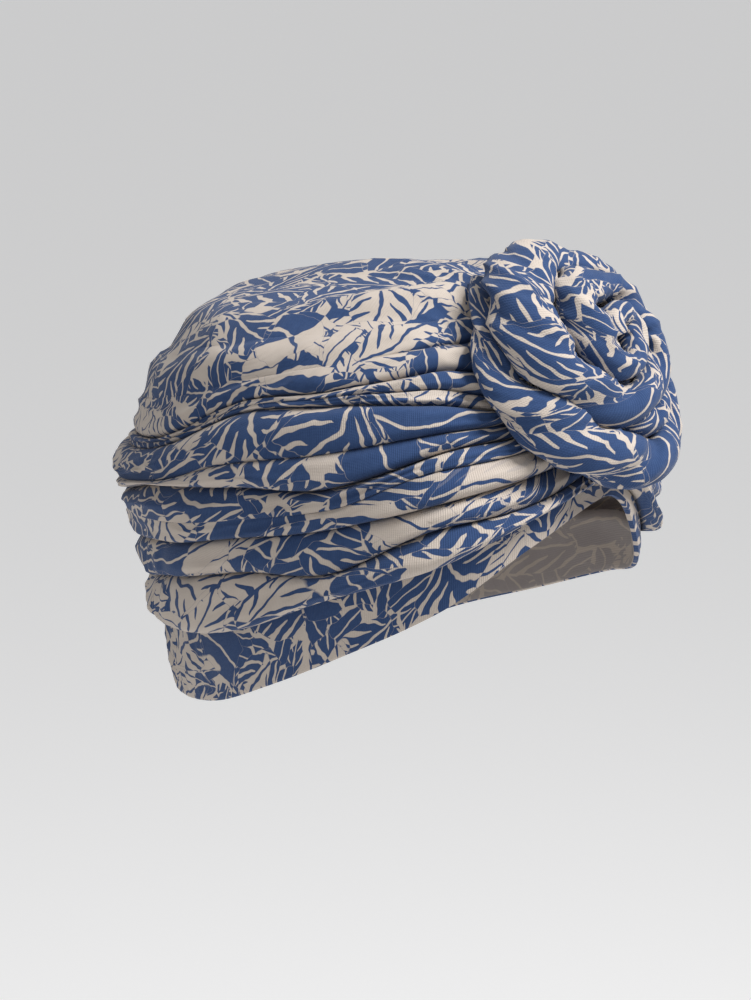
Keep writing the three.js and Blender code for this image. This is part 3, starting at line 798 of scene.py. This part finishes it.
# %% Helper for shader sums
class Wiring:
    """Adds nodes to a material and hands back their outputs."""

    def __init__(self, material):
        self.tree = material.node_tree
        self.links = self.tree.links

    def node(self, kind, **settings):
        """A new node with its settings."""
        made = self.tree.nodes.new(kind)
        for name, value in settings.items():
            setattr(made, name, value)
        return made

    def feed(self, socket, value):
        """Gives a socket a link from another node, or a fixed value."""
        if isinstance(value, bpy.types.NodeSocket):
            self.links.new(value, socket)
        elif value is not None:
            socket.default_value = value

    def sum(self, operation, *values, clamp=False):
        """One sum with plain numbers."""
        made = self.node("ShaderNodeMath", operation=operation, use_clamp=clamp)
        for socket, value in zip(made.inputs, values):
            self.feed(socket, value)
        return made.outputs[0]

    def vector(self, operation, *values):
        """One sum with vectors. SCALE takes a vector and a number."""
        made = self.node("ShaderNodeVectorMath", operation=operation)
        sockets = made.inputs
        if operation == "SCALE":
            sockets = (made.inputs["Vector"], made.inputs["Scale"])
        for socket, value in zip(sockets, values):
            self.feed(socket, value)
        return made.outputs[0]

    def parts(self, vector):
        """The x and the y of a vector."""
        made = self.node("ShaderNodeSeparateXYZ")
        self.feed(made.inputs[0], vector)
        return made.outputs[0], made.outputs[1]

    def edge(self, inside, softness=0.22):
        """1 where a distance in millimetres is positive, 0 where it is negative."""
        return self.sum("MULTIPLY_ADD", inside, 1 / softness, 0.5, clamp=True)

    def noise(self, vector, scale, detail=2.0):
        """Outputs of a noise. A higher scale makes it finer."""
        made = self.node("ShaderNodeTexNoise")
        self.feed(made.inputs["Vector"], vector)
        made.inputs["Scale"].default_value = scale
        made.inputs["Detail"].default_value = detail
        return made.outputs

    def mix(self, factor, a, b):
        """A colour on the way from a to b."""
        made = self.node("ShaderNodeMix", data_type="RGBA")
        self.feed(made.inputs[0], factor)
        self.feed(made.inputs[6], a)
        self.feed(made.inputs[7], b)
        return made.outputs[2]


print("sums ready:", [name for name in vars(Wiring) if not name.startswith("_")])

# %% [markdown]
# One function makes a layer of leaves. Its sizes are in millimetres of cloth: the cell, half the
# leaf's length and width, how far it bends and how far its teeth stand apart. A leaf's outline is a
# parabola on each side of the midrib. Slanting slits that widen from near the midrib to the edge cut
# it into teeth, as a block cutter does it. Some leaves are left whole.

# %% Leaves of the print
LEAF_LAYERS = {
    "broad": dict(cell=28.0, length=23.0, width=10.5, bend=13.0, vein_step=6.6, place=(3.1, 7.7, 0),
                  vein=0.6),
    "slim": dict(cell=16.0, length=17.0, width=4.6, bend=9.0, vein_step=0, place=(11.3, 2.9, 0),
                 vein=0.35),
    "fern": dict(cell=12.5, length=12.0, width=4.6, bend=5.0, vein_step=4.2, place=(5.9, 21.7, 0),
                 vein=0.35),
}
CELL_RANDOMNESS = 0.85
LEAF_TAPER = 0.4
VEIN_SLANT = 1.15
TEETH_FROM = 0.28
TEETH_SPREAD = 0.13
SOLID_LEAVES = 0.18
APART = 0.8


def leaves(w, cloth, cell, length, width, bend, vein_step, place, vein):
    """Ink of one layer of leaves and the whole of its leaves, each from 0 to 1."""
    scaled = w.vector("ADD", w.vector("SCALE", cloth, 1 / cell), place)
    cells = w.node("ShaderNodeTexVoronoi", voronoi_dimensions="2D", feature="F1")
    border = w.node("ShaderNodeTexVoronoi", voronoi_dimensions="2D", feature="DISTANCE_TO_EDGE")
    for pattern in (cells, border):
        w.feed(pattern.inputs["Vector"], scaled)
        pattern.inputs["Scale"].default_value = 1.0
        pattern.inputs["Randomness"].default_value = CELL_RANDOMNESS
    away = w.vector("SCALE", w.vector("SUBTRACT", scaled, cells.outputs["Position"]), cell)
    x, y = w.parts(away)
    colour = w.node("ShaderNodeSeparateColor")
    w.feed(colour.inputs[0], cells.outputs["Color"])
    red, green, blue = colour.outputs
    angle = w.sum("MULTIPLY", red, 2 * math.pi)
    sine, cosine = w.sum("SINE", angle), w.sum("COSINE", angle)
    along = w.sum("ADD", w.sum("MULTIPLY", x, cosine), w.sum("MULTIPLY", y, sine))
    aside = w.sum("SUBTRACT", w.sum("MULTIPLY", y, cosine), w.sum("MULTIPLY", x, sine))
    curl = w.sum("MULTIPLY", w.sum("SUBTRACT", green, 0.5), 2 * bend / length ** 2)
    aside = w.sum("ADD", aside, w.sum("MULTIPLY", w.sum("MULTIPLY", along, along), curl))
    off = w.sum("ABSOLUTE", aside)
    t = w.sum("DIVIDE", along, length)
    taper = w.sum("MULTIPLY_ADD", t, LEAF_TAPER, 1.0)
    shape = w.sum("MULTIPLY", w.sum("SUBTRACT", 1.0, w.sum("MULTIPLY", t, t)), taper)
    body = w.edge(w.sum("SUBTRACT", w.sum("MULTIPLY", shape, width), off))
    ink = w.sum("MULTIPLY", body, w.edge(w.sum("SUBTRACT", off, vein)))
    if vein_step:
        slant = w.sum("ADD", along, w.sum("MULTIPLY", off, -VEIN_SLANT))
        beat = w.sum("FRACT", w.sum("DIVIDE", slant, vein_step))
        gap = w.sum("MULTIPLY", w.sum("ABSOLUTE", w.sum("SUBTRACT", beat, 0.5)), vein_step)
        reach = w.sum("SUBTRACT", off, w.sum("MULTIPLY", shape, TEETH_FROM * width))
        slit = w.sum("MULTIPLY_ADD", reach, TEETH_SPREAD, vein)
        slit = w.sum("MINIMUM", slit, w.sum("MULTIPLY_ADD", reach, 1.0, 0.1))
        cut = w.edge(w.sum("SUBTRACT", gap, slit))
        solid = w.edge(w.sum("SUBTRACT", SOLID_LEAVES, blue), 0.02)
        ink = w.sum("MULTIPLY", ink, w.sum("MAXIMUM", cut, solid))
    apart = w.edge(w.sum("SUBTRACT", w.sum("MULTIPLY", border.outputs["Distance"], cell), APART))
    return w.sum("MULTIPLY", ink, apart), w.sum("MULTIPLY", body, apart)


def either(w, a, b):
    """Ink where just one of two layers has ink, so that a leaf turns pale where it lies on ink."""
    return w.sum("ABSOLUTE", w.sum("SUBTRACT", a, b))


print("leaf layers:", list(LEAF_LAYERS))

# %% [markdown]
# One more function draws the whole block print. The drawing is first stretched and bent a little, by
# slow and by quick noise, so that no leaf is quite like the next. Broad leaves lie over slim ones, and
# small fronds fill what is bare. In some fields the block is cut the other way round: pale leaves on
# an inked ground.

# %% Block print
SLOW_BEND = 14.0
QUICK_BEND = 3.2
SLOW_SCALE = 0.03
QUICK_SCALE = 0.16
FIELD_SCALE = 0.02
FIELD_EDGE = 60.0


def bent(w, cloth, scale, reach):
    """A noise that pushes points of the cloth about, by up to half the reach each way."""
    push = w.vector("SUBTRACT", w.noise(cloth, scale, 1.0)["Color"], (0.5, 0.5, 0.5))
    return w.vector("SCALE", push, reach)


def block_print(w, cloth, shift, stretch, field):
    """Ink of the whole print, from 0 to 1."""
    stretched = w.vector("MULTIPLY", cloth, (1 / stretch, 1.0, 1.0))
    drawn = w.vector("ADD", stretched, bent(w, stretched, SLOW_SCALE, SLOW_BEND))
    drawn = w.vector("ADD", drawn, bent(w, stretched, QUICK_SCALE, QUICK_BEND))
    drawn = w.vector("ADD", drawn, (shift, shift * 0.7, 0))
    broad, broad_body = leaves(w, drawn, **LEAF_LAYERS["broad"])
    slim, slim_body = leaves(w, drawn, **LEAF_LAYERS["slim"])
    fern = leaves(w, drawn, **LEAF_LAYERS["fern"])[0]
    under = w.sum("MULTIPLY", slim, w.sum("SUBTRACT", 1.0, broad_body))
    bare = w.sum("SUBTRACT", 1.0, w.sum("MAXIMUM", broad_body, slim_body))
    ink = w.sum("MAXIMUM", w.sum("MAXIMUM", broad, under), w.sum("MULTIPLY", fern, bare))
    fields = w.noise(drawn, FIELD_SCALE, 1.0)["Fac"]
    ground = w.edge(w.sum("MULTIPLY", w.sum("SUBTRACT", fields, field), FIELD_EDGE))
    return either(w, ink, ground)


print("print bends by up to", (SLOW_BEND + QUICK_BEND) / 2, "mm")

# %% [markdown]
# The finish puts the print, the knitting and the fuzz together. Jersey shows fine ribs, the wales,
# about three quarters of a millimetre apart, with tiny stitches across them. They are far too small
# to model, so they are bump, and the colour is darkened a little in the grooves between them as
# painted shade. Worn cotton has no gloss but a soft sheen where the fibres stand up, and that is
# what the sheen of the shader is for. The ink is a little uneven, as the real one is.

# %% Printed jersey
INK_BLUE = (0.02, 0.047, 0.13, 1)
INK_PALE = (0.034, 0.072, 0.178, 1)
CREAM = (0.57, 0.5, 0.44, 1)
CREAM_SHADE = (0.48, 0.415, 0.36, 1)
WALE = 0.75
STITCH = 0.95
REVERSE_STRENGTH = 0.32
WALE_SHADE = 0.05
KNIT_STRENGTH = 0.3
KNIT_DEPTH = 0.4
ROUGHNESS = 0.88
SPECULAR = 0.25
SHEEN = 0.12
SHEEN_ROUGHNESS = 0.45


def printed_jersey(name, shift, stretch=1.0, field=0.555, reverse=False):
    """Jersey with the block print. Shift moves the print on the cloth, so that pieces differ, and
    a higher field leaves fewer inked grounds."""
    material = bpy.data.materials.new(name)
    material.use_nodes = True
    w = Wiring(material)
    shader = material.node_tree.nodes["Principled BSDF"]
    flat_cloth = w.node("ShaderNodeUVMap", uv_map="cloth").outputs[0]
    cloth = w.vector("SCALE", flat_cloth, 1 / MM)
    ink = block_print(w, cloth, shift, stretch, field)
    mottle = w.noise(cloth, 0.5, 3.0)["Fac"]
    blue = w.mix(mottle, INK_BLUE, INK_PALE)
    cream = w.mix(w.noise(cloth, 0.11, 2.0)["Fac"], CREAM, CREAM_SHADE)
    strength = REVERSE_STRENGTH if reverse else 1.0
    colour = w.mix(w.sum("MULTIPLY", ink, strength), cream, blue)
    x, y = w.parts(cloth)
    wale = w.sum("COSINE", w.sum("MULTIPLY", x, 2 * math.pi / WALE))
    stitch = w.sum("COSINE", w.sum("MULTIPLY_ADD", y, 2 * math.pi / STITCH, w.sum("MULTIPLY", wale, 0.9)))
    fuzz = w.noise(cloth, 1.7, 3.0)["Fac"]
    knit = w.sum("MULTIPLY_ADD", wale, 0.5, w.sum("MULTIPLY_ADD", stitch, 0.25, fuzz))
    # Painted shade: the colour is darkened a little in the grooves between the wales
    shade = w.sum("MULTIPLY_ADD", wale, WALE_SHADE, 1 - WALE_SHADE, clamp=True)
    grey = w.node("ShaderNodeCombineColor")
    for socket in grey.inputs:
        w.feed(socket, shade)
    groove_shaded_colour = w.node("ShaderNodeMix", data_type="RGBA", blend_type="MULTIPLY")
    groove_shaded_colour.inputs[0].default_value = 1.0
    w.feed(groove_shaded_colour.inputs[6], colour)
    w.feed(groove_shaded_colour.inputs[7], grey.outputs[0])
    bump = w.node("ShaderNodeBump")
    bump.inputs["Strength"].default_value = KNIT_STRENGTH
    bump.inputs["Distance"].default_value = KNIT_DEPTH * MM
    w.feed(bump.inputs["Height"], knit)
    w.feed(shader.inputs["Base Color"], groove_shaded_colour.outputs[2])
    w.feed(shader.inputs["Normal"], bump.outputs[0])
    shader.inputs["Roughness"].default_value = ROUGHNESS
    shader.inputs["Specular IOR Level"].default_value = SPECULAR
    shader.inputs["Sheen Weight"].default_value = SHEEN
    shader.inputs["Sheen Roughness"].default_value = SHEEN_ROUGHNESS
    print(name, "has", len(material.node_tree.nodes), "nodes")
    return material


# %% [markdown]
# The outside of each piece gets its own cut of the print, and the inside its reverse: the same print,
# come through the cloth only faintly. Which faces are inside follows from how the loops were stacked.

# %% Cloth on the pieces
cap.data.materials.append(printed_jersey("printed_jersey_cap", shift=0.0, stretch=1.5))
cap.data.materials.append(printed_jersey("jersey_reverse", shift=0.0, stretch=1.5, reverse=True))
inside_faces = (len(inside) - 1) * COLUMNS
faces_of_cap = np.zeros(len(cap.data.polygons), np.int32)
faces_of_cap[:inside_faces] = 1
inner_fan = (len(loops) - 1) * COLUMNS
faces_of_cap[inner_fan:inner_fan + COLUMNS] = 1
cap.data.polygons.foreach_set("material_index", faces_of_cap)
hem_band.data.materials.append(printed_jersey("printed_jersey_hem", shift=57.0))
hem_band.data.materials.append(cap.data.materials[1])
back_of_band = np.zeros(len(hem_band.data.polygons), np.int32)
back_of_band[(HEM_FOLD_ROWS + HEM_ROWS + 1) * COLUMNS:] = 1
hem_band.data.polygons.foreach_set("material_index", back_of_band)
rosette_cloth = printed_jersey("printed_jersey_rosette", shift=131.0, stretch=1.1, field=0.62)
rope.data.materials.append(rosette_cloth)
strand.data.materials.append(rosette_cloth)

# %% [markdown]
# Each piece is tied to the frame: it rides on the one body of the hat and stands for its solid,
# which is hidden.

# %% Tie the cloth to the frame
for piece, node, slot in [
    (cap, "cap", "folded_jersey"),
    (hem_band, "hem_band", "hem_jersey"),
    (rope, "rosette_rope", "rosette_jersey"),
    (strand, "rosette_inner_strand", "rosette_jersey"),
]:
    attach(piece, "root")
    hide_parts(node)

# %% [markdown]
# The hat is shown level, as it is worn, high over a plain pale floor that also serves as the
# background. The floor glows a little, as paper does that is lit from behind. The light is a soft
# studio light: one large lamp high on the viewer's right, two weaker ones to the sides, and a pale
# surrounding light that fills the creases. A large lamp makes soft shadows, which suits cloth.

# %% Floor and light
FLOOR_LEVEL = -900.0
FLOOR_HALF = 60000.0
GLOW = 0.27
PALE = (0.93, 0.925, 0.92, 1)
SURROUND = (0.97, 0.98, 1.0, 1)
SURROUND_STRENGTH = 0.38
LAMPS = {
    "key_light": dict(azimuth=10.0, elevation=50.0, away=1500.0, size=600.0, power=30.0),
    "fill_light": dict(azimuth=-75.0, elevation=50.0, away=1700.0, size=1300.0, power=4.0),
    "far_light": dict(azimuth=120.0, elevation=45.0, away=1700.0, size=1200.0, power=3.0),
}


def pale_floor():
    """One large square that glows."""
    corners = [(-FLOOR_HALF, -FLOOR_HALF), (FLOOR_HALF, -FLOOR_HALF), (FLOOR_HALF, FLOOR_HALF),
               (-FLOOR_HALF, FLOOR_HALF)]
    mesh = bpy.data.meshes.new("pale_floor")
    mesh.from_pydata([(x * MM, y * MM, FLOOR_LEVEL * MM) for x, y in corners], [], [(0, 1, 2, 3)])
    floor = bpy.data.objects.new("pale_floor", mesh)
    bpy.context.scene.collection.objects.link(floor)
    paint = bpy.data.materials.new("pale_paint")
    paint.use_nodes = True
    shader = paint.node_tree.nodes["Principled BSDF"]
    shader.inputs["Base Color"].default_value = PALE
    shader.inputs["Roughness"].default_value = 0.95
    shader.inputs["Emission Color"].default_value = PALE
    shader.inputs["Emission Strength"].default_value = GLOW
    mesh.materials.append(paint)


def soft_lamp(name, azimuth, elevation, away, size, power):
    """A square lamp that looks at the middle of the hat. Away and size are in millimetres."""
    lamp = bpy.data.lights.new(name, "AREA")
    lamp.size = size * MM
    lamp.energy = power
    made = bpy.data.objects.new(name, lamp)
    aimed(made, away * direction(azimuth, elevation), np.zeros(3))


pale_floor()
for name, lamp in LAMPS.items():
    soft_lamp(name, **lamp)
surround = bpy.data.worlds.new("pale_surround")
surround.use_nodes = True
background = surround.node_tree.nodes["Background"]
background.inputs["Color"].default_value = SURROUND
background.inputs["Strength"].default_value = SURROUND_STRENGTH
bpy.context.scene.world = surround
bpy.context.scene.view_settings.view_transform = "Standard"
print("lamps:", list(LAMPS))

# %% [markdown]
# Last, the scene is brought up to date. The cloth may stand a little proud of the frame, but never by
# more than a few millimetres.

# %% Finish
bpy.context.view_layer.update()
